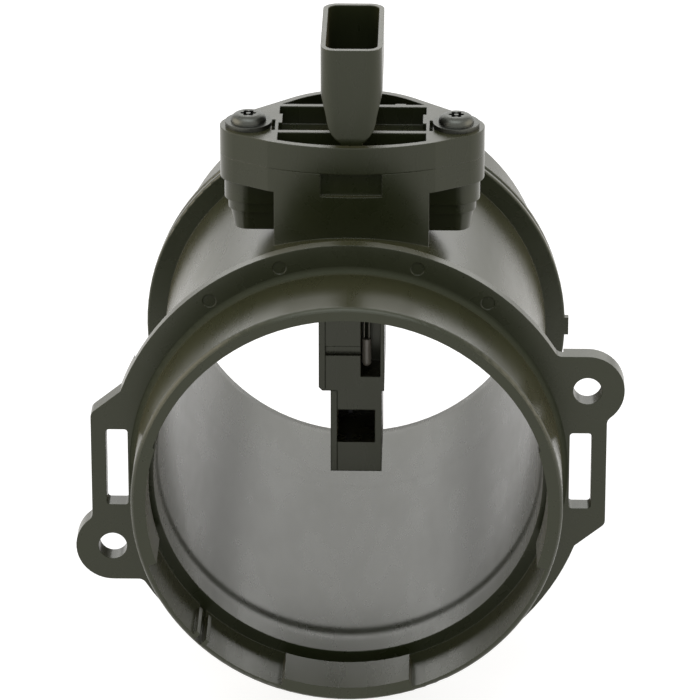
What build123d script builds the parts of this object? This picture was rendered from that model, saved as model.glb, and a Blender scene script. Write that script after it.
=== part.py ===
"""Mass airflow sensor: a moulded flow tube with a plug-in sensor screwed on top.

Millimetres. The duct runs along Y, the air enters at the collar on the -Y side, and the
plug-in sensor stands on top, towards +Z. The origin is on the duct's axis, in the front
face of the mounting flange.
"""
from build123d import *
from math import cos, hypot, radians, sin, sqrt
import os

os.makedirs("parts", exist_ok=True)

# Duct
bore_radius = 45.9
bore_draft = 0.5
tube_wall = 2.1
outlet_reach = 122.5
spigot_wall = 2.3
spigot_taper_length = 2.5
spigot_taper_height = 1.0

# Collar at the inlet, with the seat for a flow grid
collar_reach = 22.0
collar_wall = 1.5
rim_rounding = 1.3
root_rounding = 1.2
recess_depth = 17.4
seat_step = 3.0
lead_in_length = 9.1
lead_in_taper = 2.0
lead_in_step = 0.4
pad_height = 2.1
pad_depth = 13.4
pad_half_angle = 18.3
pad_angles = (0.0, 180.0, 270.0)
lining_height = 1.5
key_angle = 225.0
key_width = 2.0
key_depth = 0.7
key_rib_width = 1.0
key_rib_height = 1.2

# Mounting flange and its two ears
flange_reach = 6.8
flange_thickness = 3.0
ear_thickness = 5.0
ear_hole_inset = 1.0
ear_hole_z = 20.8
ear_hole_radius = 3.4
ear_radius = 8.8
ear_edge_reach = 3.75
ear_corner_z = -13.9
ear_foot_inset = 4.6
ear_foot_z = -20.6
ear_rounding = 2.0
slot_inset = 2.4
slot_width = 5.2
slot_height = 19.7
slot_rounding = 0.8
dimple_radius = 1.6
dimple_depth = 0.25
dimple_angles = (52.8, 72.6, 107.4, 127.2)

# Stop ring near the outlet
spigot_length = 28.5
ring_height = 5.0
ring_rib_width = 2.0
ring_groove_width = 2.5
ring_groove_depth = 2.5
ring_rear_drop = 0.4
ring_rounding = 0.5
nub_height = 0.9
nub_length = 4.6

# Boss that the plug-in sensor sits on
head_y = 48.0
head_half_depth = 20.0
head_rear_radius = 22.0
screw_half_spacing = 25.0
screw_setback = 4.5
lobe_radius = 6.9
boss_height = 16.2
boss_flange_thickness = 6.0
boss_half_width = 18.6
window_half_width = 7.4
window_height = 5.8
window_depth = 1.6
leg_collar_drop = 5.35
leg_collar_radius = 5.9
leg_drop = 8.0
leg_radius = 5.0
leg_cone_radius = 4.5
leg_foot_drop = 12.85
leg_foot_radius = 3.7
socket_chamfer = 1.0
pilot_depth = 15.2
screw_pilot_radius = 2.0

# Ribbed head plate of the sensor
plate_thickness = 6.8
rim_width = 1.8
rib_half_spacing = 8.8
rib_width = 1.6
pocket_depth = 4.6
pocket_half_length = 17.8
end_tab_reach = 0.8
end_tab_length = 6.0
end_tab_height = 1.6
rib_tab_x = 11.5
rib_tab_length = 2.6
rib_tab_width = 1.4
rib_tab_height = 1.2
screw_clear_radius = 2.3
slit_rib = 0.8
slit_width = 0.8
slit_length = 7.0
slit_depth = 2.0

# Connector shroud and the keel that it narrows to
shroud_height = 23.5
shroud_length = 33.4
shroud_width = 14.8
shroud_wall = 1.2
shroud_end_wall = 1.4
shroud_corner = 3.6
keel_height = 12.1
keel_shoulder_height = 6.2
keel_shoulder_half_width = 6.0
keel_waist_height = 3.3
keel_waist_half_width = 5.35
keel_foot_half_width = 2.6
cavity_floor_height = 7.2
cavity_floor_half_width = 4.5
latch_width = 7.0
latch_height = 5.0
latch_depth = 1.8
latch_drop = 4.5

# Connector pins
pin_count = 5
pin_pitch = 4.6
pin_size = 0.8
pin_drop = 11.0
pin_tip_chamfer = 0.2
pin_landing = 5.6
pin_bend_rise = 8.4

# Neck and its seal
socket_play = 0.38
neck_clearance = 0.3
groove_drop = 6.2
groove_height = 2.8
groove_depth = 1.5
seal_height = 2.4
seal_rounding = 0.7

# Probe
probe_length = 28.0
probe_half_width = 8.0
probe_root_height = 4.1
lower_left = -5.1
lower_right = 7.4
cover_thickness = 1.6
cover_chamfer = 0.9
cover_lip_height = 1.0

# Measuring channel in the probe's lower half
inlet_top = 0.2
inlet_height = 8.6
step_above_inlet = 5.1
divider_thickness = 1.6
divider_setback = 6.0
return_height = 4.7
channel_floor = 1.5
channel_wall = 1.7
channel_rear_wall = 2.55
outlet_length = 7.0

# Circuit chamber in the probe's upper half
chamber_floor_x = 0.8
chamber_front_wall = 3.0
chamber_rear_wall = 2.5
chamber_roof_drop = 3.3
chamber_sill = 13.7
base_thickness = 0.8
base_gap = 0.2
base_rounding = 0.5
board_thickness = 0.64
board_margin = 1.0
signal_chip_size = 7.0
signal_chip_thickness = 1.2
signal_chip_chamfer = 0.25
signal_chip_offset = 4.7
signal_chip_rise = 9.0
capacitor_height = 1.0
capacitor_width = 1.25
capacitor_length = 2.0
capacitor_count = 3
capacitor_pitch = 3.0
capacitor_margin = 3.5
capacitor_rise = 5.0

# Sensing chip on its carrier
carrier_offset = 0.5
carrier_width = 5.8
carrier_thickness = 1.0
carrier_reach = 6.4
carrier_rise = 10.7
carrier_chamfer = 0.5
carrier_slot_gap = 0.15
tongue_gap = 0.8
chip_length = 3.0
chip_height = 5.0
chip_thickness = 0.4
chip_inset = 0.6

# Temperature bead in its open pocket
pocket_wall = 1.45
pocket_side_wall = 1.0
pocket_length = 10.0
pocket_sill = 3.8
pocket_height = 16.9
bead_radius = 1.15
bead_length = 7.2
bead_rise = 1.1
bead_rounding = 0.9
bead_setback = 4.5
bead_inset = 1.35
lead_radius = 0.25
lead_half_spacing = 0.6
lead_seat = 2.0
lead_clearance = 0.03
front_groove_rise = 9.4
front_groove_height = 2.3
front_groove_depth = 1.2

# Screws
screw_shank_radius = 1.95
screw_length = 17.5
screw_tip_chamfer = 0.5
washer_radius = 5.6
washer_thickness = 1.1
dome_radius = 4.3
dome_height = 1.9
crown_radius = 2.4
drive_radius = 1.9
drive_depth = 1.6
drive_lobes = 6
drive_lobe_radius = 0.55
drive_pin_radius = 0.55

# Radii and levels of the duct, worked out from the sizes above
tube_radius = bore_radius + tube_wall
bore_outlet_radius = bore_radius - bore_draft
spigot_radius = bore_outlet_radius + spigot_wall
lead_in_radius = bore_radius + lead_in_step
recess_radius = lead_in_radius + seat_step
collar_radius = recess_radius + collar_wall
flange_radius = collar_radius + flange_reach
recess_end = recess_depth - collar_reach
ring_radius = tube_radius + ring_height
ring_groove_radius = ring_radius - ring_groove_depth
ring_rear_radius = ring_radius - ring_rear_drop
ring_rear_end = outlet_reach - spigot_length
ring_groove_end = ring_rear_end - ring_rib_width
ring_groove_start = ring_groove_end - ring_groove_width
ring_front = ring_groove_start - ring_rib_width

# Places on the flange
ear_hole_x = flange_radius - ear_hole_inset
ear_edge_x = flange_radius + ear_edge_reach
ear_foot_x = flange_radius - ear_foot_inset
ear_top_z = ear_hole_z + ear_radius
ear_holes = [(ear_hole_x, ear_hole_z), (-ear_hole_x, -ear_hole_z)]
slot_x = flange_radius - slot_inset
dimple_ring = (collar_radius + flange_radius) / 2

# Levels of the head
seat_z = tube_radius + boss_height
plate_top = seat_z + plate_thickness
pocket_floor = plate_top - pocket_depth
shroud_top = plate_top + shroud_height
keel_top = plate_top + keel_height
cavity_floor = plate_top + cavity_floor_height
boss_flange_bottom = seat_z - boss_flange_thickness
screw_y = head_y - screw_setback
screw_places = [(-screw_half_spacing, screw_y), (screw_half_spacing, screw_y)]
head_front_y = head_y - head_half_depth
head_rear_y = head_y + head_half_depth
socket_radius = hypot(probe_length / 2, probe_half_width) + socket_play
socket_depth = seat_z - bore_radius / 2
neck_radius = socket_radius - neck_clearance
groove_top = seat_z - groove_drop

# Edges of the probe
probe_front = head_y - probe_length / 2
probe_rear = head_y + probe_length / 2
probe_step_z = inlet_top + step_above_inlet
probe_root_z = bore_radius + probe_root_height
cover_inner_x = cover_thickness - probe_half_width
lower_cover_inner_x = lower_left + cover_thickness
inlet_bottom = inlet_top - inlet_height
return_top = inlet_bottom - divider_thickness
channel_bottom = return_top - return_height
probe_bottom = channel_bottom - channel_floor
channel_right = lower_right - channel_wall
turn_radius = (inlet_top - channel_bottom) / 2
turn_y = probe_rear - channel_rear_wall - turn_radius
divider_front = probe_front + divider_setback
chamber_front = probe_front + chamber_front_wall
chamber_rear = probe_rear - chamber_rear_wall
chamber_bottom = probe_step_z + chamber_sill
chamber_top = bore_radius - chamber_roof_drop
chamber_y = (chamber_front + chamber_rear) / 2
chamber_z = (chamber_bottom + chamber_top) / 2
chamber_length = chamber_rear - chamber_front
chamber_height = chamber_top - chamber_bottom
carrier_y = head_y + carrier_offset
tongue_bottom = probe_step_z + cover_thickness
pocket_left = chamber_floor_x + pocket_wall
pocket_bottom = probe_step_z + pocket_sill
pocket_top = pocket_bottom + pocket_height
lead_top = pocket_top + lead_seat
base_x = chamber_floor_x - base_thickness
board_x = base_x - board_thickness


def corners_near(drawing, places):
    """The corners of a sketch that lie nearest to each given place."""
    return [drawing.vertices().sort_by_distance(place)[0] for place in places]


def head_outline():
    """The outline of the head plate and of the boss below it, seen from above."""
    front_offset = screw_y - head_front_y
    chord = screw_half_spacing**2 + front_offset**2 - lobe_radius**2
    front_arc_radius = chord / (2 * (front_offset - lobe_radius))
    with BuildSketch(Plane.XY) as outline:
        with Locations((0, head_rear_y - head_rear_radius)):
            Circle(head_rear_radius)
        with Locations(*screw_places):
            Circle(lobe_radius)
        make_hull()
        with Locations((0, head_front_y + front_arc_radius)):
            Circle(front_arc_radius, mode=Mode.INTERSECT)
    return outline.sketch


def block(x_range, y_range, z_range, mode=Mode.ADD):
    """Add or cut a plain block between two places along each direction."""
    low = (x_range[0], y_range[0], z_range[0])
    size = [high - start for start, high in (x_range, y_range, z_range)]
    with Locations(low):
        Box(*size, align=(Align.MIN, Align.MIN, Align.MIN), mode=mode)


# Flow tube
with BuildSketch(Plane.YZ) as tube_section:
    with BuildLine():
        Polyline(
            (-collar_reach, 0),
            (-collar_reach, collar_radius),
            (flange_thickness / 2, collar_radius),
            (flange_thickness / 2, tube_radius),
            (ring_front, tube_radius),
            (ring_front, ring_radius),
            (ring_groove_start, ring_radius),
            (ring_groove_start, ring_groove_radius),
            (ring_groove_end, ring_groove_radius),
            (ring_groove_end, ring_rear_radius),
            (ring_rear_end, ring_rear_radius),
            (ring_rear_end, spigot_radius),
            (outlet_reach - spigot_taper_length, spigot_radius),
            (outlet_reach, spigot_radius - spigot_taper_height),
            (outlet_reach, 0),
            close=True,
        )
    make_face()
    fillet(corners_near(tube_section, [(-collar_reach, collar_radius)]), rim_rounding)
    fillet(
        corners_near(tube_section, [
            (ring_front, ring_radius),
            (ring_groove_start, ring_radius),
            (ring_groove_end, ring_rear_radius),
            (ring_rear_end, ring_rear_radius),
        ]),
        ring_rounding,
    )

with BuildSketch(Plane.YZ) as bore_section:
    with BuildLine():
        Polyline(
            (-collar_reach, 0),
            (-collar_reach, recess_radius),
            (recess_end, recess_radius),
            (recess_end, lead_in_radius),
            (recess_end + lead_in_length, lead_in_radius),
            (recess_end + lead_in_length + lead_in_taper, bore_radius),
            (outlet_reach, bore_outlet_radius),
            (outlet_reach, 0),
            close=True,
        )
    make_face()

with BuildSketch(Plane.XZ) as ear_plan:
    Circle(flange_radius)
    with PolarLocations(0, 2):
        Polygon(
            (ear_foot_x / 2, ear_top_z),
            (ear_hole_x, ear_top_z),
            (ear_hole_x, ear_hole_z),
            (ear_edge_x, ear_hole_z),
            (ear_edge_x, ear_corner_z),
            (ear_foot_x, ear_foot_z),
            (ear_foot_x / 2, ear_foot_z),
        )
    with Locations(*ear_holes):
        Circle(ear_radius)
    ring_at_ear_top = sqrt(flange_radius**2 - ear_top_z**2)
    lobe_end_z = ear_hole_z - sqrt(ear_radius**2 - (ear_edge_x - ear_hole_x) ** 2)
    ear_corners = [(ring_at_ear_top, ear_top_z), (ear_edge_x, lobe_end_z), (ear_edge_x, ear_corner_z)]
    ear_corners += [(-x, -z) for x, z in ear_corners]
    fillet(corners_near(ear_plan, ear_corners), ear_rounding)

with BuildSketch(Plane.XZ) as ears_only:
    add(ear_plan.sketch)
    Rectangle(2 * collar_radius, 2 * flange_radius, mode=Mode.SUBTRACT)

boss_outline = head_outline()

with BuildPart() as flow_tube:
    # Boss, its overhanging flange and the legs round the screws
    with BuildSketch(Plane.XY.offset(seat_z)):
        add(boss_outline)
    extrude(amount=-boss_flange_thickness)
    with BuildSketch(Plane.XY.offset(seat_z)):
        add(boss_outline)
        with Locations((0, head_y)):
            Rectangle(2 * boss_half_width, 2 * flange_radius, mode=Mode.INTERSECT)
    extrude(amount=-socket_depth)
    for radius, drop in ((leg_collar_radius, leg_collar_drop), (leg_radius, leg_drop)):
        with BuildSketch(Plane.XY.offset(boss_flange_bottom)):
            with Locations((0, screw_y)):
                SlotCenterToCenter(2 * screw_half_spacing, 2 * radius)
        extrude(amount=-drop)
    for radius, drop in ((leg_cone_radius, leg_drop), (leg_foot_radius, leg_foot_drop)):
        with BuildSketch(Plane.XY.offset(boss_flange_bottom - drop)):
            with Locations((0, screw_y)):
                SlotCenterToCenter(2 * screw_half_spacing, 2 * radius)
    loft()

    # Tube, flange and bore
    revolve(tube_section.sketch, axis=Axis.Y)
    extrude(ear_plan.sketch, amount=-flange_thickness)
    extrude(ears_only.sketch, amount=-ear_thickness)
    fillet(
        [
            flow_tube.edges().filter_by(GeomType.CIRCLE).sort_by_distance(place)[0]
            for place in ((collar_radius, 0, 0), (tube_radius, flange_thickness, 0))
        ],
        root_rounding,
    )
    with BuildSketch(Plane.XZ.offset(-ring_front)):
        with Locations((ring_radius, 0)):
            Rectangle(2 * nub_height, nub_length)
    extrude(amount=-ring_rib_width)
    with BuildSketch(Plane.XZ):
        with Locations(*ear_holes):
            Circle(ear_hole_radius)
        with Locations((slot_x, 0), (-slot_x, 0)):
            RectangleRounded(slot_width, slot_height, slot_rounding)
    extrude(amount=-ear_thickness, mode=Mode.SUBTRACT)
    revolve(bore_section.sketch, axis=Axis.Y, mode=Mode.SUBTRACT)

    # Pads in the collar's seat, a lining round its upper half, and a key slot between two ribs
    wedge_x = 2 * collar_radius * cos(radians(pad_half_angle))
    wedge_z = 2 * collar_radius * sin(radians(pad_half_angle))
    with BuildSketch(Plane.XZ.offset(collar_reach)):
        for angle in pad_angles:
            with PolarLocations(0, 1, start_angle=angle):
                Polygon((0, 0), (wedge_x, -wedge_z), (wedge_x, wedge_z))
        Circle((recess_radius + collar_radius) / 2, mode=Mode.INTERSECT)
        Circle(recess_radius - pad_height, mode=Mode.SUBTRACT)
    extrude(amount=-pad_depth)
    with BuildSketch(Plane.XZ.offset(collar_reach)):
        Circle((recess_radius + collar_radius) / 2)
        Circle(recess_radius - lining_height, mode=Mode.SUBTRACT)
        Rectangle(2 * collar_radius, collar_radius, align=(Align.CENTER, Align.MIN), mode=Mode.INTERSECT)
    extrude(amount=-pad_depth)
    with BuildSketch(Plane.XZ.offset(collar_reach)):
        with PolarLocations(recess_radius, 1, start_angle=key_angle):
            Rectangle(2 * key_rib_height, key_width + 2 * key_rib_width)
        Circle((recess_radius + collar_radius) / 2, mode=Mode.INTERSECT)
    extrude(amount=-pad_depth)
    with BuildSketch(Plane.XZ.offset(collar_reach)):
        with PolarLocations(recess_radius - key_rib_height + key_depth, 1, start_angle=key_angle):
            Rectangle(2 * key_rib_height, key_width)
    extrude(amount=-recess_depth, mode=Mode.SUBTRACT)

    # Ejector marks on the flange's face
    with BuildSketch(Plane.XZ):
        for angle in dimple_angles:
            with PolarLocations(dimple_ring, 1, start_angle=angle):
                Circle(dimple_radius)
    extrude(amount=-dimple_depth, mode=Mode.SUBTRACT)

    # Shallow window in the front of the boss
    block(
        (-window_half_width, window_half_width),
        (head_front_y - window_depth, head_front_y + window_depth),
        (seat_z - window_height, seat_z),
        mode=Mode.SUBTRACT,
    )

    # Socket for the neck, and the holes that the screws cut their thread in
    with BuildSketch(Plane.XY.offset(seat_z)):
        with Locations((0, head_y)):
            Circle(socket_radius)
    extrude(amount=-socket_depth, mode=Mode.SUBTRACT)
    with BuildSketch(Plane.XY.offset(seat_z)):
        with Locations((0, head_y)):
            Circle(socket_radius + socket_chamfer)
    with BuildSketch(Plane.XY.offset(seat_z - socket_chamfer)):
        with Locations((0, head_y)):
            Circle(socket_radius)
    loft(mode=Mode.SUBTRACT)
    with BuildSketch(Plane.XY.offset(seat_z)):
        with Locations(*screw_places):
            Circle(screw_pilot_radius)
    extrude(amount=-pilot_depth, mode=Mode.SUBTRACT)

flow_tube.part.label = "flow_tube"
export_step(flow_tube.part, "parts/flow_tube.step")


# Connector pins, bent once inside the neck so that they land on the circuit board
pin_top = shroud_top - pin_drop
pin_foot_x = board_x - pin_size / 2
pin_foot_z = chamber_top - pin_landing
pin_bend_z = chamber_top + pin_bend_rise
pins = []
for number in range(pin_count):
    pin_y = head_y + (number - (pin_count - 1) / 2) * pin_pitch
    with BuildPart() as contact_pin:
        with BuildSketch(Plane.XZ.offset(pin_size / 2 - pin_y)):
            with BuildLine():
                Polyline(
                    (0, pin_top),
                    (0, pin_bend_z - pin_foot_x),
                    (pin_foot_x, pin_bend_z),
                    (pin_foot_x, pin_foot_z),
                )
            trace(line_width=pin_size)
        extrude(amount=-pin_size)
        chamfer(contact_pin.faces().sort_by(Axis.Z)[-1].edges(), pin_tip_chamfer)
    contact_pin.part.label = f"contact_pin_{number + 1}"
    export_step(contact_pin.part, f"parts/contact_pin_{number + 1}.step")
    pins.append(contact_pin.part)


# Sensor body: head plate, connector shroud, neck and probe in one moulding
with BuildSketch(Plane.XY) as plate_pockets:
    offset(head_outline(), amount=-rim_width)
    with Locations((0, head_y)):
        Rectangle(2 * pocket_half_length, 4 * head_half_depth, mode=Mode.INTERSECT)
    with Locations((0, head_y - rib_half_spacing), (0, head_y + rib_half_spacing)):
        Rectangle(2 * pocket_half_length, rib_width, mode=Mode.SUBTRACT)

with BuildPart() as connector_keel:
    with BuildSketch(Plane.XZ.offset(shroud_length / 2 - head_y)):
        with BuildLine():
            Line((keel_foot_half_width, pocket_floor), (keel_foot_half_width, plate_top))
            ThreePointArc(
                (keel_foot_half_width, plate_top),
                (keel_waist_half_width, plate_top + keel_waist_height),
                (keel_shoulder_half_width, plate_top + keel_shoulder_height),
            )
            Line(
                (keel_shoulder_half_width, plate_top + keel_shoulder_height),
                (shroud_width / 2, keel_top),
            )
            Line((shroud_width / 2, keel_top), (0, keel_top))
            Line((0, keel_top), (0, pocket_floor))
            Line((0, pocket_floor), (keel_foot_half_width, pocket_floor))
        make_face()
        mirror(about=Plane.YZ)
    extrude(amount=-shroud_length)
    with BuildSketch(Plane.XY.offset(pocket_floor)):
        with Locations((0, head_y)):
            RectangleRounded(shroud_width, shroud_length, shroud_corner)
    extrude(amount=keel_top - pocket_floor, mode=Mode.INTERSECT)

with BuildPart() as sensor_body:
    with BuildSketch(Plane.XY.offset(seat_z)):
        add(head_outline())
    extrude(amount=plate_thickness)
    with BuildSketch(Plane.XY.offset(plate_top)):
        add(plate_pockets.sketch)
    extrude(amount=-pocket_depth, mode=Mode.SUBTRACT)
    for side in (-1, 1):
        tab_end = side * (pocket_half_length - end_tab_reach)
        block(
            sorted((tab_end, side * pocket_half_length)),
            (head_y - end_tab_length / 2, head_y + end_tab_length / 2),
            (plate_top - end_tab_height, plate_top),
        )
        slit_start = side * (pocket_half_length + slit_rib)
        block(
            sorted((slit_start, slit_start + side * slit_width)),
            (screw_y - slit_length / 2, screw_y + slit_length / 2),
            (plate_top - slit_depth, plate_top),
            mode=Mode.SUBTRACT,
        )
    block(
        (rib_tab_x - rib_tab_length / 2, rib_tab_x + rib_tab_length / 2),
        (head_y + rib_half_spacing, head_y + rib_half_spacing + rib_tab_width),
        (plate_top - rib_tab_height, plate_top),
    )

    # Shroud on its keel, with the cavity for the plug
    add(connector_keel.part)
    with BuildSketch(Plane.XY.offset(keel_top)):
        with Locations((0, head_y)):
            RectangleRounded(shroud_width, shroud_length, shroud_corner)
    extrude(amount=shroud_top - keel_top)
    cavity_width = shroud_width - 2 * shroud_wall
    cavity_length = shroud_length - 2 * shroud_end_wall
    cavity_corner = shroud_corner - shroud_wall
    with BuildSketch(Plane.XY.offset(shroud_top)):
        with Locations((0, head_y)):
            RectangleRounded(cavity_width, cavity_length, cavity_corner)
    extrude(amount=keel_top - shroud_top, mode=Mode.SUBTRACT)
    with BuildSketch(Plane.XY.offset(keel_top)):
        with Locations((0, head_y)):
            RectangleRounded(2 * cavity_floor_half_width, cavity_length, cavity_corner)
    extrude(amount=cavity_floor - keel_top, mode=Mode.SUBTRACT)
    latch_top = shroud_top - latch_drop
    shroud_rear = head_y + shroud_length / 2
    with BuildSketch(Plane.YZ.offset(-latch_width / 2)):
        Polygon(
            (shroud_rear - shroud_end_wall / 2, latch_top),
            (shroud_rear + latch_depth, latch_top),
            (shroud_rear, latch_top - latch_height),
            (shroud_rear - shroud_end_wall / 2, latch_top - latch_height),
        )
    extrude(amount=latch_width)

    # Neck, cut to the curve of the duct, with the seal's groove
    with BuildSketch(Plane.XY.offset(seat_z)):
        with Locations((0, head_y)):
            Circle(neck_radius)
    extrude(amount=-socket_depth)
    with BuildSketch(Plane.XZ.offset(2 * neck_radius - head_y)):
        Circle(bore_radius)
    extrude(amount=-4 * neck_radius, mode=Mode.SUBTRACT)
    with BuildSketch(Plane.XY.offset(groove_top)):
        with Locations((0, head_y)):
            Circle(neck_radius + groove_depth)
            Circle(neck_radius - groove_depth, mode=Mode.SUBTRACT)
    extrude(amount=-groove_height, mode=Mode.SUBTRACT)

    # Upper and lower half of the probe
    block((cover_inner_x, probe_half_width), (probe_front, probe_rear), (probe_step_z, probe_root_z))
    block((lower_cover_inner_x, lower_right), (probe_front, probe_rear), (probe_bottom, probe_step_z))

    # Front groove, and the open pocket with the holes of the bead's leads
    block(
        (cover_inner_x, pocket_left),
        (probe_front, probe_front + front_groove_depth),
        (probe_step_z + front_groove_rise, probe_step_z + front_groove_rise + front_groove_height),
        mode=Mode.SUBTRACT,
    )
    block(
        (pocket_left, probe_half_width - pocket_side_wall),
        (probe_front, probe_front + pocket_length),
        (pocket_bottom, pocket_top),
        mode=Mode.SUBTRACT,
    )
    bead_x = pocket_left + bead_inset
    bead_y = probe_front + bead_setback
    with BuildSketch(Plane.XY.offset(lead_top)):
        with Locations((bead_x - lead_half_spacing, bead_y), (bead_x + lead_half_spacing, bead_y)):
            Circle(lead_radius + lead_clearance)
    extrude(amount=-lead_seat, mode=Mode.SUBTRACT)

    # Circuit chamber with its tongue, open to the side under the cover
    block(
        (cover_inner_x, chamber_floor_x),
        (chamber_front, chamber_rear),
        (chamber_bottom, chamber_top),
        mode=Mode.SUBTRACT,
    )
    tongue_half_width = carrier_width / 2 + tongue_gap
    block(
        (cover_inner_x, chamber_floor_x),
        (carrier_y - tongue_half_width, carrier_y + tongue_half_width),
        (tongue_bottom, chamber_bottom),
        mode=Mode.SUBTRACT,
    )

    # Measuring channel: in at the front, round the divider and out through the right wall
    with BuildSketch(Plane.YZ.offset(lower_cover_inner_x)):
        with Locations((turn_y, inlet_top - turn_radius)):
            Circle(turn_radius)
            Rectangle(turn_y - divider_front, 2 * turn_radius, align=(Align.MAX, Align.CENTER))
        with Locations((turn_y, inlet_top)):
            Rectangle(turn_y - probe_front, inlet_height, align=(Align.MAX, Align.MAX))
        with Locations((turn_y, inlet_bottom - divider_thickness / 2)):
            Circle(divider_thickness / 2, mode=Mode.SUBTRACT)
            Rectangle(
                turn_y - divider_front,
                divider_thickness,
                align=(Align.MAX, Align.CENTER),
                mode=Mode.SUBTRACT,
            )
    extrude(amount=channel_right - lower_cover_inner_x, mode=Mode.SUBTRACT)
    block(
        (channel_right, lower_right),
        (divider_front, divider_front + outlet_length),
        (channel_bottom, return_top),
        mode=Mode.SUBTRACT,
    )

    # Slot that the chip's carrier passes through
    carrier_half_slot = carrier_width / 2 + carrier_slot_gap
    block(
        (base_x - carrier_thickness - carrier_slot_gap, base_x + carrier_slot_gap),
        (carrier_y - carrier_half_slot, carrier_y + carrier_half_slot),
        (inlet_top, tongue_bottom),
        mode=Mode.SUBTRACT,
    )

    # Screw holes, and the pins that the plastic is moulded round
    with BuildSketch(Plane.XY.offset(plate_top)):
        with Locations(*screw_places):
            Circle(screw_clear_radius)
    extrude(amount=-plate_thickness, mode=Mode.SUBTRACT)
    for pin in pins:
        add(pin, mode=Mode.SUBTRACT)

sensor_body.part.label = "sensor_body"
export_step(sensor_body.part, "parts/sensor_body.step")


# Seal ring, pressed into its groove by the socket
with BuildPart() as seal_ring:
    seal_inner_radius = neck_radius - groove_depth
    with BuildSketch(Plane.XZ.offset(-head_y)):
        with Locations(((seal_inner_radius + socket_radius) / 2, groove_top - groove_height / 2)):
            RectangleRounded(socket_radius - seal_inner_radius, seal_height, seal_rounding)
    revolve(axis=Axis((0, head_y, 0), (0, 0, 1)))
seal_ring.part.label = "seal_ring"
export_step(seal_ring.part, "parts/seal_ring.step")


# Screws
dome_top = washer_thickness + dome_height
dome_arc_x = crown_radius + (dome_radius - crown_radius) * cos(radians(45))
dome_arc_z = washer_thickness + dome_height * sin(radians(45))
for (screw_x, _), name in zip(screw_places, ("screw_left", "screw_right")):
    with BuildPart() as screw:
        with BuildSketch(Plane((screw_x, screw_y, plate_top), x_dir=(1, 0, 0), z_dir=(0, -1, 0))):
            with BuildLine():
                Polyline(
                    (crown_radius, dome_top),
                    (0, dome_top),
                    (0, -screw_length),
                    (screw_shank_radius - screw_tip_chamfer, -screw_length),
                    (screw_shank_radius, screw_tip_chamfer - screw_length),
                    (screw_shank_radius, 0),
                    (washer_radius, 0),
                    (washer_radius, washer_thickness),
                    (dome_radius, washer_thickness),
                )
                ThreePointArc(
                    (dome_radius, washer_thickness),
                    (dome_arc_x, dome_arc_z),
                    (crown_radius, dome_top),
                )
            make_face()
        revolve(axis=Axis((screw_x, screw_y, 0), (0, 0, 1)))
        with BuildSketch(Plane.XY.offset(plate_top + dome_top)):
            with Locations((screw_x, screw_y)):
                Circle(drive_radius - drive_lobe_radius)
                with PolarLocations(drive_radius - drive_lobe_radius, drive_lobes):
                    Circle(drive_lobe_radius)
                Circle(drive_pin_radius, mode=Mode.SUBTRACT)
        extrude(amount=-drive_depth, mode=Mode.SUBTRACT)
    screw.part.label = name
    export_step(screw.part, f"parts/{name}.step")


# Metal plate that carries the circuit, with a tongue down to the chip's carrier
with BuildPart() as base_plate:
    tongue_length = chamber_bottom + 2 * base_rounding - tongue_bottom
    with BuildSketch(Plane.YZ.offset(base_x)):
        with Locations((chamber_y, chamber_z)):
            RectangleRounded(chamber_length - 2 * base_gap, chamber_height - 2 * base_gap, base_rounding)
        with Locations((carrier_y, tongue_bottom + base_gap)):
            Rectangle(carrier_width, tongue_length, align=(Align.CENTER, Align.MIN))
    extrude(amount=base_thickness)
base_plate.part.label = "base_plate"
export_step(base_plate.part, "parts/base_plate.step")


# Circuit board and the parts on it
with BuildPart() as circuit_board:
    with BuildSketch(Plane.YZ.offset(board_x)):
        with Locations((chamber_y, chamber_z)):
            Rectangle(chamber_length - 2 * board_margin, chamber_height - 2 * board_margin)
    extrude(amount=board_thickness)
circuit_board.part.label = "circuit_board"
export_step(circuit_board.part, "parts/circuit_board.step")

with BuildPart() as signal_chip:
    with BuildSketch(Plane.YZ.offset(board_x)):
        with Locations((chamber_y + signal_chip_offset, chamber_bottom + signal_chip_rise)):
            Rectangle(signal_chip_size, signal_chip_size)
    extrude(amount=-signal_chip_thickness)
    chamfer(signal_chip.faces().sort_by(Axis.X)[0].edges(), signal_chip_chamfer)
signal_chip.part.label = "signal_chip"
export_step(signal_chip.part, "parts/signal_chip.step")

for number in range(capacitor_count):
    capacitor_y = chamber_front + capacitor_margin + number * capacitor_pitch
    with BuildPart() as capacitor:
        with BuildSketch(Plane.YZ.offset(board_x)):
            with Locations((capacitor_y, chamber_bottom + capacitor_rise)):
                Rectangle(capacitor_width, capacitor_length)
        extrude(amount=-capacitor_height)
    capacitor.part.label = f"capacitor_{number + 1}"
    export_step(capacitor.part, f"parts/capacitor_{number + 1}.step")


# Carrier of the sensing chip, and the chip
with BuildPart() as chip_carrier:
    block(
        (base_x - carrier_thickness, base_x),
        (carrier_y - carrier_width / 2, carrier_y + carrier_width / 2),
        (inlet_top - carrier_reach, probe_step_z + carrier_rise),
    )
    chamfer(chip_carrier.edges().filter_by(Axis.X).group_by(Axis.Z)[0], carrier_chamfer)
chip_carrier.part.label = "chip_carrier"
export_step(chip_carrier.part, "parts/chip_carrier.step")

with BuildPart() as sensor_chip:
    chip_bottom = inlet_top - carrier_reach + chip_inset
    block(
        (base_x - carrier_thickness - chip_thickness, base_x - carrier_thickness),
        (carrier_y - chip_length / 2, carrier_y + chip_length / 2),
        (chip_bottom, chip_bottom + chip_height),
    )
sensor_chip.part.label = "sensor_chip"
export_step(sensor_chip.part, "parts/sensor_chip.step")


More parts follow.
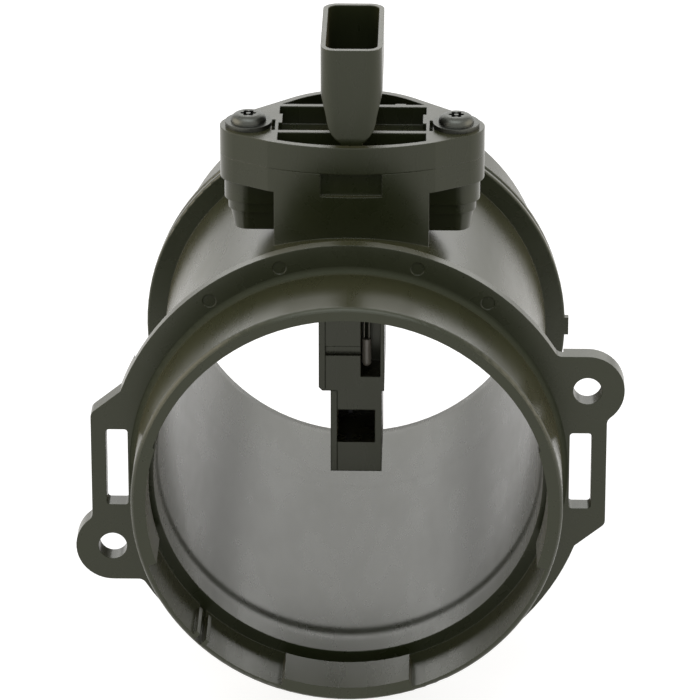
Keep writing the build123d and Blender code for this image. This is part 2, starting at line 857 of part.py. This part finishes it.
# Covers of the circuit chamber and of the measuring channel
with BuildPart() as electronics_cover:
    block(
        (-probe_half_width, cover_inner_x),
        (probe_front, probe_rear),
        (probe_step_z, chamber_top + cover_thickness),
    )
    foot_edges = electronics_cover.edges().filter_by(Axis.Y).group_by(Axis.Z)[0]
    chamfer(foot_edges.sort_by(Axis.X)[0], cover_chamfer)
    lip_length = chamber_length - 2 * base_gap
    lip_height = chamber_height - 2 * base_gap
    with BuildSketch(Plane.YZ.offset(cover_inner_x)):
        with Locations((chamber_y, chamber_z)):
            Rectangle(lip_length, lip_height)
            Rectangle(
                lip_length - 2 * cover_thickness,
                lip_height - 2 * cover_thickness,
                mode=Mode.SUBTRACT,
            )
    extrude(amount=cover_lip_height)
electronics_cover.part.label = "electronics_cover"
export_step(electronics_cover.part, "parts/electronics_cover.step")

with BuildPart() as bypass_cover:
    block(
        (lower_left, lower_cover_inner_x),
        (probe_front, probe_rear),
        (probe_bottom, probe_step_z),
    )
bypass_cover.part.label = "bypass_cover"
export_step(bypass_cover.part, "parts/bypass_cover.step")


# Temperature bead hanging on its two leads
bead_bottom = pocket_bottom + bead_rise
bead_top = bead_bottom + bead_length
with BuildPart() as temperature_bead:
    with BuildSketch(Plane.XY.offset(bead_bottom)):
        with Locations((bead_x, bead_y)):
            Circle(bead_radius)
    extrude(amount=bead_length)
    fillet(temperature_bead.faces().sort_by(Axis.Z)[0].edges(), bead_rounding)
temperature_bead.part.label = "temperature_bead"
export_step(temperature_bead.part, "parts/temperature_bead.step")

for side, name in ((-1, "temperature_lead_left"), (1, "temperature_lead_right")):
    with BuildPart() as temperature_lead:
        with BuildSketch(Plane.XY.offset(bead_top)):
            with Locations((bead_x + side * lead_half_spacing, bead_y)):
                Circle(lead_radius)
        extrude(amount=lead_top - bead_top)
    temperature_lead.part.label = name
    export_step(temperature_lead.part, f"parts/{name}.step")
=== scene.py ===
"""Looks of the mass airflow sensor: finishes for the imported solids, a studio and a camera.

Metres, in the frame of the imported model: the duct runs along Y, air enters on the -Y side, and
+Z is up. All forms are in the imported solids, so no piece is added here.
"""

import logging
import math
from dataclasses import dataclass, field
from enum import Enum

import bpy
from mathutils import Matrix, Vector


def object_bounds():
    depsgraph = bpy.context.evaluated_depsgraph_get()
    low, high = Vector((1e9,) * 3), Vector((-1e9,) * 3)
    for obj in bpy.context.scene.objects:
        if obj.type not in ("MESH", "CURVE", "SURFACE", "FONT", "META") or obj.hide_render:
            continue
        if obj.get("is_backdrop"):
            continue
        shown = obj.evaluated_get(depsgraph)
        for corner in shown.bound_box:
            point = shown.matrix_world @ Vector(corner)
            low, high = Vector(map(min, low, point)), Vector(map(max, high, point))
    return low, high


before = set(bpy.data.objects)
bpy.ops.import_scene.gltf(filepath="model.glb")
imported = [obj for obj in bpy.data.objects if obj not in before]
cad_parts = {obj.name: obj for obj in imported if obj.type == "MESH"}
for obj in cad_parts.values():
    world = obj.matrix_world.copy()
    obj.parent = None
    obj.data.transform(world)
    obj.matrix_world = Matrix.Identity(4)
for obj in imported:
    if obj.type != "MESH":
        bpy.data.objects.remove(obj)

LOG = logging.getLogger("airflow_sensor")
MILLIMETRE = 0.001
FRAME_PIXELS = 700
SENSOR_WIDTH = 36.0
BEVEL_SAMPLES = 6
WHITE = "#FFFFFF"

Tree = bpy.types.NodeTree
Socket = bpy.types.NodeSocket
# A node's properties and values, and the sockets that feed it, by the name or place of its inputs.
Settings = dict[str | int, object]
Links = dict[str | int, Socket]


class Along(Enum):
    """Direction in which a moulded or rolled surface is drawn out, as a squeeze of its pattern."""

    DUCT = (1.0, 0.3, 1.0)
    HEAD = (1.0, 1.0, 0.25)
    STRIP = (1.0, 1.0, 0.06)
    NONE = (1.0, 1.0, 1.0)


class Pattern(Enum):
    """Kinds of noise in a skin, as the detail and the roughness of the noise."""

    CLOUD = (2.0, 0.5)
    STREAK = (3.0, 0.5)
    GRAIN = (2.0, 0.7)
    MARK = (4.0, 0.6)


class Seen(Enum):
    """Kinds of ray that get the plain white of the studio."""

    CAMERA = "Is Camera Ray"
    GLOSS = "Is Glossy Ray"
    THROUGH = "Is Transmission Ray"


def linear(colour: str) -> tuple[float, float, float, float]:
    """Turns a colour as it is written for a screen into the linear values that shaders use.

    Args:
        colour: six hex digits after a number sign, in sRGB.

    Returns:
        Red, green, blue and an alpha of one.
    """
    toe_end, toe_slope, offset, power = 0.04045, 12.92, 0.055, 2.4
    channels = [int(colour[start:start + 2], 16) / 255 for start in (1, 3, 5)]
    values = [
        c / toe_slope if c <= toe_end else ((c + offset) / (1 + offset)) ** power
        for c in channels
    ]
    return (*values, 1.0)


def add_node(
    tree: Tree, kind: str, settings: Settings | None = None, links: Links | None = None
) -> bpy.types.Node:
    """Adds one node with its settings and its incoming links.

    Args:
        tree: the material's or the world's node tree.
        kind: the node's type name.
        settings: properties of the node, and values of its inputs by name or place.
        links: outputs of other nodes that feed its inputs, by name or place.

    Returns:
        The new node.
    """
    node = tree.nodes.new(kind)
    for key, value in (settings or {}).items():
        if isinstance(key, int) or key in node.inputs:
            node.inputs[key].default_value = value
        else:
            setattr(node, key, value)
    for key, socket in (links or {}).items():
        tree.links.new(socket, node.inputs[key])
    return node


def calculate(
    tree: Tree, operation: str, links: Links, numbers: Settings | None = None
) -> Socket:
    """Adds one calculation.

    Args:
        tree: the material's or the world's node tree.
        operation: the calculation, by the node's own name for it.
        links: what is fed in, by place.
        numbers: what is fixed, by place.

    Returns:
        The socket with the result.
    """
    node = add_node(tree, "ShaderNodeMath", {"operation": operation, **(numbers or {})}, links)
    return node.outputs["Value"]


def rescale(
    tree: Tree,
    value: Socket,
    target: tuple[float, float],
    source: tuple[float, float] = (0.0, 1.0),
) -> Socket:
    """Adds a node that takes one range of values to another, and stops at its ends.

    Args:
        tree: the material's or the world's node tree.
        value: what is rescaled.
        target: what the two ends of the source become.
        source: the range that comes in.

    Returns:
        The socket with the result.
    """
    node = add_node(
        tree,
        "ShaderNodeMapRange",
        {
            "From Min": source[0],
            "From Max": source[1],
            "To Min": target[0],
            "To Max": target[1],
        },
        {"Value": value},
    )
    return node.outputs["Result"]


def noise(tree: Tree, pattern: Pattern, size_mm: float, place: Socket) -> Socket:
    """Adds a noise whose marks have a real size.

    Args:
        tree: the material's node tree.
        pattern: the kind of noise.
        size_mm: how far its marks are across, in millimetres.
        place: the coordinates that it lies on.

    Returns:
        The socket with its value, from zero to one.
    """
    detail, rough = pattern.value
    node = add_node(
        tree,
        "ShaderNodeTexNoise",
        {"Scale": 1 / (size_mm * MILLIMETRE), "Detail": detail, "Roughness": rough},
        {"Vector": place},
    )
    return node.outputs["Fac"]


def blend(tree: Tree, colour: str, second_colour: str, share: Socket) -> Socket:
    """Adds a mix of two colours.

    Args:
        tree: the material's node tree.
        colour: the colour where the share is zero.
        second_colour: the colour where it is one.
        share: how much of the second colour is in the mix.

    Returns:
        The socket with the mixed colour.
    """
    # A mix of colours takes its share at input 0 and its colours at 6 and 7, and gives output 2.
    node = add_node(
        tree,
        "ShaderNodeMix",
        {"data_type": "RGBA", 6: linear(colour), 7: linear(second_colour)},
        {0: share},
    )
    return node.outputs[2]


def relief(
    tree: Tree,
    height: Socket,
    height_mm: float,
    edge_radius_mm: float,
    softness: Links | None = None,
) -> Socket:
    """Adds softened edges, and a fine relief over them.

    Args:
        tree: the material's node tree.
        height: the pattern of the relief.
        height_mm: how high it stands, in millimetres.
        edge_radius_mm: how round the edges look, in millimetres.
        softness: a link in place of that radius, where it isn't the same all over.

    Returns:
        The socket with the normal.
    """
    edge = add_node(
        tree,
        "ShaderNodeBevel",
        {"samples": BEVEL_SAMPLES, "Radius": edge_radius_mm * MILLIMETRE},
        softness,
    )
    skin = add_node(
        tree,
        "ShaderNodeBump",
        {"Strength": 1.0, "Distance": height_mm * MILLIMETRE},
        {"Height": height, "Normal": edge.outputs["Normal"]},
    )
    return skin.outputs["Normal"]


def new_shader(name: str) -> tuple[bpy.types.Material, Tree, bpy.types.Node, Socket]:
    """Starts a material that holds one principled shader and the piece's own coordinates.

    Args:
        name: what the material is.

    Returns:
        The material, its tree, the shader and the socket of the object coordinates.
    """
    material = bpy.data.materials.new(name)
    material.use_nodes = True
    tree = material.node_tree
    tree.nodes.clear()
    shader = add_node(tree, "ShaderNodeBsdfPrincipled")
    add_node(tree, "ShaderNodeOutputMaterial", links={"Surface": shader.outputs["BSDF"]})
    place = add_node(tree, "ShaderNodeTexCoord").outputs["Object"]
    return material, tree, shader, place


@dataclass(frozen=True)
class GlassFilledNylon:
    """Black nylon with glass fibre, injection moulded in a spark-eroded tool.

    To the eye it is a soft, slightly olive black. Its skin is a satin that greys where it is seen
    at a low angle, clouded by resin-rich patches, streaked where the melt flowed, and a little
    polished on its edges. A thin film of dust warms it.
    """

    name: str
    colour: str = "#1F2412"
    cloud_colour: str = "#252A18"
    roughness: float = 0.28
    roughness_spread: float = 0.03
    ior: float = 1.5
    gloss_colour: str = "#FBFBEC"
    dust: float = 0.09
    dust_colour: str = "#DCC79A"
    flow: Along = Along.DUCT
    cloud_mm: float = 9.0
    streak_mm: float = 2.2
    streak_share: float = 0.4
    marks_from: float = 0.45
    marks_to: float = 0.95
    grain_mm: float = 0.55
    grain_height_mm: float = 0.008
    edge_radius_mm: float = 0.4

    def zones(self, tree: Tree, place: Socket) -> tuple[Links, Links]:
        """Gives no links, as this skin is the same all over."""
        return {}, {}

    def material(self) -> bpy.types.Material:
        """Builds the material.

        Returns:
            The material, with grain, flow streaks and softened edges.
        """
        material, tree, shader, place = new_shader(self.name)
        shader.inputs["IOR"].default_value = self.ior
        shader.inputs["Specular Tint"].default_value = linear(self.gloss_colour)
        shader.inputs["Sheen Weight"].default_value = self.dust
        shader.inputs["Sheen Tint"].default_value = linear(self.dust_colour)
        drawn = add_node(tree, "ShaderNodeMapping", {"Scale": self.flow.value}, {"Vector": place})
        cloud = noise(tree, Pattern.CLOUD, self.cloud_mm, drawn.outputs["Vector"])
        streak = noise(tree, Pattern.STREAK, self.streak_mm, drawn.outputs["Vector"])
        marks = calculate(tree, "MULTIPLY_ADD", {0: streak, 2: cloud}, {1: self.streak_share})
        satin = rescale(
            tree,
            marks,
            (self.roughness - self.roughness_spread, self.roughness + self.roughness_spread),
            (self.marks_from, self.marks_to),
        )
        tint = blend(tree, self.colour, self.cloud_colour, cloud)
        # The real grain is finer than the picture shows, so it is drawn at half a millimetre.
        grain = noise(tree, Pattern.GRAIN, self.grain_mm, place)
        softness, mattness = self.zones(tree, place)
        shine = calculate(tree, "ADD", {0: satin, **mattness}, {1: 0.0})
        skin = relief(tree, grain, self.grain_height_mm, self.edge_radius_mm, softness)
        tree.links.new(tint, shader.inputs["Base Color"])
        tree.links.new(shine, shader.inputs["Roughness"])
        tree.links.new(skin, shader.inputs["Normal"])
        return material


@dataclass(frozen=True)
class DuctNylon(GlassFilledNylon):
    """The same nylon on the flow tube, whose edges don't look alike all over.

    To the eye the lead-in runs softly into the bore, the mouth is round outside and sharp inside,
    and the corner between collar and flange has no glint. Levels are along Y, from the flange's
    front face, and radii are round the duct's axis.
    """

    edge_radius_mm: float = 0.25
    bore_level_mm: float = 0.0
    bore_radius_mm: float = 46.6
    bore_softness_mm: float = 4.0
    mouth_level_mm: float = -20.0
    mouth_radius_mm: float = 50.2
    mouth_step_mm: float = 0.2
    mouth_inner_mm: float = 0.05
    mouth_outer_mm: float = 0.95
    corner_level_mm: float = -0.6
    corner_radius_mm: float = 51.5
    corner_half_mm: float = 0.75
    corner_matt: float = 0.5

    def zones(self, tree: Tree, place: Socket) -> tuple[Links, Links]:
        """Says where the tube's edges are softer or sharper, and where its skin is matt.

        Args:
            tree: the material's tree.
            place: the object coordinates.

        Returns:
            A link for the radius of the edges, and one for what is added to the roughness.
        """
        axes = add_node(tree, "ShaderNodeSeparateXYZ", links={"Vector": place})
        level = axes.outputs["Y"]
        across = add_node(
            tree, "ShaderNodeCombineXYZ", links={"X": axes.outputs["X"], "Z": axes.outputs["Z"]}
        )
        length = add_node(
            tree, "ShaderNodeVectorMath", {"operation": "LENGTH"}, {0: across.outputs["Vector"]}
        )
        reach = length.outputs["Value"]
        # Inside the duct the lead-in and the bore meet in a faint line.
        behind = calculate(tree, "GREATER_THAN", {0: level}, {1: self.bore_level_mm * MILLIMETRE})
        within = calculate(tree, "LESS_THAN", {0: reach}, {1: self.bore_radius_mm * MILLIMETRE})
        inside = calculate(tree, "MULTIPLY", {0: behind, 1: within})
        softness = rescale(
            tree,
            inside,
            (self.edge_radius_mm * MILLIMETRE, self.bore_softness_mm * MILLIMETRE),
        )
        # At the mouth the outer edge looks round and the inner edge sharp.
        mouth = calculate(tree, "LESS_THAN", {0: level}, {1: self.mouth_level_mm * MILLIMETRE})
        outer = rescale(
            tree,
            reach,
            (
                (self.mouth_inner_mm - self.edge_radius_mm) * MILLIMETRE,
                (self.mouth_outer_mm - self.edge_radius_mm) * MILLIMETRE,
            ),
            (
                (self.mouth_radius_mm - self.mouth_step_mm) * MILLIMETRE,
                self.mouth_radius_mm * MILLIMETRE,
            ),
        )
        radius = calculate(tree, "MULTIPLY_ADD", {0: mouth, 1: outer, 2: softness})
        # The corner between collar and flange is kept matt: the photograph shows no glint there.
        half = self.corner_half_mm * MILLIMETRE
        beside = calculate(
            tree, "COMPARE", {0: level}, {1: self.corner_level_mm * MILLIMETRE, 2: half}
        )
        ring = calculate(
            tree, "COMPARE", {0: reach}, {1: self.corner_radius_mm * MILLIMETRE, 2: half}
        )
        corner = calculate(tree, "MULTIPLY", {0: beside, 1: ring})
        matt = calculate(tree, "MULTIPLY", {0: corner}, {1: self.corner_matt})
        return {"Radius": radius}, {1: matt}


@dataclass(frozen=True)
class PlainFinish:
    """A small piece's finish, from its colour, its shine and one fine pattern.

    The pattern clouds the shine and the colour a little and dents the skin, as rolling, stamping,
    firing or moulding leaves it.
    """

    name: str
    colour: str
    second_colour: str
    roughness: float
    roughness_share: float = 0.2
    metallic: float = 0.0
    ior: float = 1.5
    flow: Along = Along.NONE
    mark_mm: float = 0.8
    mark_height_mm: float = 0.006
    marks_from: float = 0.3
    marks_to: float = 0.7
    edge_radius_mm: float = 0.12

    def material(self) -> bpy.types.Material:
        """Builds the material.

        Returns:
            The material, its IOR left as it is where it is a metal.
        """
        material, tree, shader, place = new_shader(self.name)
        shader.inputs["Metallic"].default_value = self.metallic
        if not self.metallic:
            shader.inputs["IOR"].default_value = self.ior
        drawn = add_node(tree, "ShaderNodeMapping", {"Scale": self.flow.value}, {"Vector": place})
        marks = noise(tree, Pattern.MARK, self.mark_mm, drawn.outputs["Vector"])
        tint = blend(tree, self.colour, self.second_colour, marks)
        shine = rescale(
            tree,
            marks,
            (
                (1 - self.roughness_share) * self.roughness,
                (1 + self.roughness_share) * self.roughness,
            ),
            (self.marks_from, self.marks_to),
        )
        skin = relief(tree, marks, self.mark_height_mm, self.edge_radius_mm)
        tree.links.new(tint, shader.inputs["Base Color"])
        tree.links.new(shine, shader.inputs["Roughness"])
        tree.links.new(skin, shader.inputs["Normal"])
        return material


def dress(node: str, material: bpy.types.Material) -> None:
    """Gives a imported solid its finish.

    Args:
        node: the solid's name.
        material: its finish.
    """
    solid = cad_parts[node]
    solid.data.materials.clear()
    solid.data.materials.append(material)
    LOG.info("%s dressed in %s", node, material.name)


@dataclass
class FlowDuct:
    """The flow tube with its collar, flange, stop ring and boss, in one moulding."""

    finish: DuctNylon = DuctNylon("glass-filled nylon, moulded, duct")

    def build(self) -> None:
        """Dresses the tube."""
        dress("flow_tube", self.finish.material())


@dataclass
class PlugInSensor:
    """The sensor's ribbed head with its shroud and probe, the two glued covers and the seal."""

    finish: GlassFilledNylon = GlassFilledNylon(
        "glass-filled nylon, moulded, sensor", flow=Along.HEAD, cloud_mm=6.0
    )
    # Moulded rubber shows as a dull dark blue-grey, with no highlight of its own.
    rubber: PlainFinish = PlainFinish(
        "fluorosilicone rubber, moulded", "#2A3038", "#343B44", 0.55, mark_mm=0.5
    )

    def build(self) -> None:
        """Dresses the body, its covers and the seal."""
        plastic = self.finish.material()
        for node in ("sensor_body", "electronics_cover", "bypass_cover"):
            dress(node, plastic)
        dress("seal_ring", self.rubber.material())


@dataclass
class Fastening:
    """The two thread-forming screws."""

    # The black plating leaves a dark metal with a soft glint on the dome and the flange.
    steel: PlainFinish = PlainFinish(
        "steel, black zinc-nickel plated", "#484944", "#5C5D57", 0.38, metallic=1.0, mark_mm=0.5
    )

    def build(self) -> None:
        """Dresses both screws."""
        coat = self.steel.material()
        for node in ("screw_left", "screw_right"):
            dress(node, coat)


@dataclass
class Contacts:
    """The pins in the connector."""

    # Tin over stamped brass is a bright, faintly yellow metal, lined along the pin.
    brass: PlainFinish = PlainFinish(
        "brass, stamped and tinned",
        "#B9B4A4",
        "#C8BFA2",
        0.28,
        metallic=1.0,
        flow=Along.STRIP,
        mark_mm=0.3,
    )
    count: int = 5

    def build(self) -> None:
        """Dresses the pins."""
        coat = self.brass.material()
        for number in range(1, self.count + 1):
            dress(f"contact_pin_{number}", coat)


@dataclass
class Circuit:
    """The aluminium plate with the board, its parts and the sensing chip, behind the cover."""

    # Rolling leaves fine lines, so the plate's shine is drawn out along the strip.
    aluminium: PlainFinish = PlainFinish(
        "aluminium, rolled and stamped",
        "#B4B6B6",
        "#C4C6C6",
        0.34,
        metallic=1.0,
        flow=Along.STRIP,
        mark_mm=0.4,
    )
    # The mask is a smooth green film, with the weave of the glass as a faint mottle.
    laminate: PlainFinish = PlainFinish(
        "glass laminate under green solder mask", "#1F4A2C", "#285837", 0.38, mark_mm=0.7
    )
    # Moulded epoxy is a flat, finely pitted near-black.
    resin: PlainFinish = PlainFinish(
        "epoxy, moulded round the chip", "#1B1B1C", "#262627", 0.6, mark_mm=0.25
    )
    # Fired ceramic is an even, dull tan.
    ceramic: PlainFinish = PlainFinish("ceramic, fired", "#8A6A48", "#9C7B57", 0.5, mark_mm=0.3)
    # Polished silicon is a dark, slightly violet mirror.
    silicon: PlainFinish = PlainFinish(
        "silicon, polished and etched",
        "#4C4A5C",
        "#57586E",
        0.12,
        metallic=1.0,
        mark_mm=0.9,
        mark_height_mm=0.0005,
    )
    capacitors: int = 3

    def build(self) -> None:
        """Dresses the plate, the board and what it carries."""
        dress("base_plate", self.aluminium.material())
        dress("circuit_board", self.laminate.material())
        resin = self.resin.material()
        dress("signal_chip", resin)
        dress("chip_carrier", resin)
        ceramic = self.ceramic.material()
        for number in range(1, self.capacitors + 1):
            dress(f"capacitor_{number}", ceramic)
        dress("sensor_chip", self.silicon.material())


@dataclass
class TemperatureBead:
    """The air temperature bead and its two leads, in the open pocket of the probe."""

    # The glass over the bead is a smooth warm grey, lit along one side.
    glaze: PlainFinish = PlainFinish(
        "glass, sealed round the bead", "#9A948A", "#AAA396", 0.25, mark_mm=0.6
    )
    # Drawn nickel, its grey darkened as painted shade, so the leads stay dark in their pocket.
    wire: PlainFinish = PlainFinish(
        "nickel wire, drawn, darkened as painted shade",
        "#66645C",
        "#747168",
        0.45,
        metallic=1.0,
        flow=Along.STRIP,
        mark_mm=0.2,
    )

    def build(self) -> None:
        """Dresses the bead and its leads."""
        dress("temperature_bead", self.glaze.material())
        wire = self.wire.material()
        for side in ("left", "right"):
            dress(f"temperature_lead_{side}", wire)


@dataclass
class Lamp:
    """One soft lamp, a lit rectangle that faces a point."""

    name: str
    place: tuple[float, float, float]
    width: float
    depth: float
    power: float
    colour: str = WHITE
    aim: tuple[float, float, float] = (0.0, 0.04, 0.02)

    def build(self) -> None:
        """Hangs the lamp and turns it to its aim."""
        data = bpy.data.lights.new(self.name, "AREA")
        data.shape = "RECTANGLE"
        data.size, data.size_y = self.width, self.depth
        data.energy = self.power
        data.color = linear(self.colour)[:3]
        lamp = bpy.data.objects.new(self.name, data)
        bpy.context.scene.collection.objects.link(lamp)
        lamp.location = self.place
        way = Vector(self.aim) - Vector(self.place)
        lamp.rotation_euler = way.to_track_quat("-Z", "Y").to_euler()


def softboxes() -> list[Lamp]:
    """Lists the studio's lamps: cool light from above, and warmer light from both sides.

    Returns:
        The lamps, not hung yet.
    """
    return [
        Lamp(
            "softbox above", (-0.1, -0.4, 1.3), width=1.2, depth=0.8, power=7.0, colour="#F0F5FF"
        ),
        Lamp("softbox behind", (0.0, 1.6, 0.7), width=2.0, depth=0.9, power=6.5),
        Lamp(
            "softbox on the left",
            (-1.5, 0.0, 0.5),
            width=1.6,
            depth=1.2,
            power=13.0,
            colour="#FFF0DC",
        ),
        Lamp(
            "softbox on the right",
            (1.5, 0.1, 0.5),
            width=1.6,
            depth=1.2,
            power=10.0,
            colour="#FFF2E0",
        ),
    ]


@dataclass
class Studio:
    """A white table in a white room, with soft lamps above, behind and on both sides."""

    floor_width: float = 12.0
    floor_colour: str = "#B0B0B0"
    floor_glow: float = 0.84
    white: float = 1.0
    fill: float = 0.42
    lamps: list[Lamp] = field(default_factory=softboxes)

    def seen(self, tree: Tree) -> Socket:
        """Picks out the rays that see the studio's plain white.

        Args:
            tree: the tree of the floor or of the world.

        Returns:
            A socket that is one for those rays and zero for the others.
        """
        rays = add_node(tree, "ShaderNodeLightPath")
        total = rays.outputs[Seen.CAMERA.value]
        for kind in (Seen.GLOSS, Seen.THROUGH):
            total = calculate(tree, "MAXIMUM", {0: total, 1: rays.outputs[kind.value]})
        return total

    def lay_floor(self) -> None:
        """Lays the table at the lowest point of the part."""
        low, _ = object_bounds()
        bpy.ops.object.select_all(action="DESELECT")
        bpy.ops.mesh.primitive_plane_add(size=self.floor_width, location=(0.0, 0.0, low.z))
        floor = bpy.context.object
        floor.name = "floor"
        bpy.ops.object.transform_apply(location=True, rotation=True, scale=True)
        # Uncoated paper is a matt white. Its glow keeps it as pale as the room, except in shadow.
        material = bpy.data.materials.new("paper, uncoated white")
        material.use_nodes = True
        tree = material.node_tree
        tree.nodes.clear()
        matte = add_node(tree, "ShaderNodeBsdfDiffuse", {"Color": linear(self.floor_colour)})
        level = calculate(tree, "MULTIPLY", {0: self.seen(tree)}, {1: self.floor_glow})
        glow = add_node(tree, "ShaderNodeEmission", links={"Strength": level})
        both = add_node(
            tree,
            "ShaderNodeAddShader",
            links={0: matte.outputs["BSDF"], 1: glow.outputs["Emission"]},
        )
        add_node(tree, "ShaderNodeOutputMaterial", links={"Surface": both.outputs["Shader"]})
        floor.data.materials.append(material)
        floor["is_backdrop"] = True

    def light(self) -> None:
        """Lights the room: the world fills it softly and the lamps shape it."""
        world = bpy.data.worlds.new("white room")
        bpy.context.scene.world = world
        world.use_nodes = True
        tree = world.node_tree
        tree.nodes.clear()
        level = rescale(tree, self.seen(tree), (self.fill, self.white))
        air = add_node(
            tree, "ShaderNodeBackground", {"Color": linear(WHITE)}, {"Strength": level}
        )
        add_node(tree, "ShaderNodeOutputWorld", links={"Surface": air.outputs["Background"]})
        for lamp in self.lamps:
            lamp.build()

    def build(self) -> None:
        """Lays the floor and lights the room."""
        self.lay_floor()
        self.light()
        LOG.info("studio with %d lamps", len(self.lamps))


@dataclass
class Viewpoint:
    """The photograph's viewpoint, from a long lens."""

    azimuth: float = 1.2182
    elevation: float = 23.4897
    distance: float = 1.22143
    focal_pixels: float = 5208.0
    aim: tuple[float, float, float] = (0.000519, -0.00718, 0.03406)
    clip_near: float = 0.01
    clip_far: float = 50.0

    def build(self) -> None:
        """Sets up the camera with everything sharp."""
        turn, rise = math.radians(self.azimuth), math.radians(self.elevation)
        level = math.cos(rise)
        back = Vector((math.sin(turn) * level, -math.cos(turn) * level, math.sin(rise)))
        data = bpy.data.cameras.new("camera")
        data.sensor_width = SENSOR_WIDTH
        data.lens = self.focal_pixels * SENSOR_WIDTH / FRAME_PIXELS
        data.clip_start, data.clip_end = self.clip_near, self.clip_far
        camera = bpy.data.objects.new("camera", data)
        bpy.context.scene.collection.objects.link(camera)
        camera.location = Vector(self.aim) + self.distance * back
        camera.rotation_euler = back.to_track_quat("Z", "Y").to_euler()
        bpy.context.scene.camera = camera


def main() -> None:
    """Dresses the part and sets up the studio and the camera."""
    logging.basicConfig(level=logging.INFO, format="%(name)s: %(message)s")
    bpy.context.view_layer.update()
    bpy.context.scene.view_settings.view_transform = "Standard"
    for assembly in (FlowDuct, PlugInSensor, Fastening, Contacts, Circuit, TemperatureBead):
        assembly().build()
    Studio().build()
    Viewpoint().build()


if __name__ == "__main__":
    main()
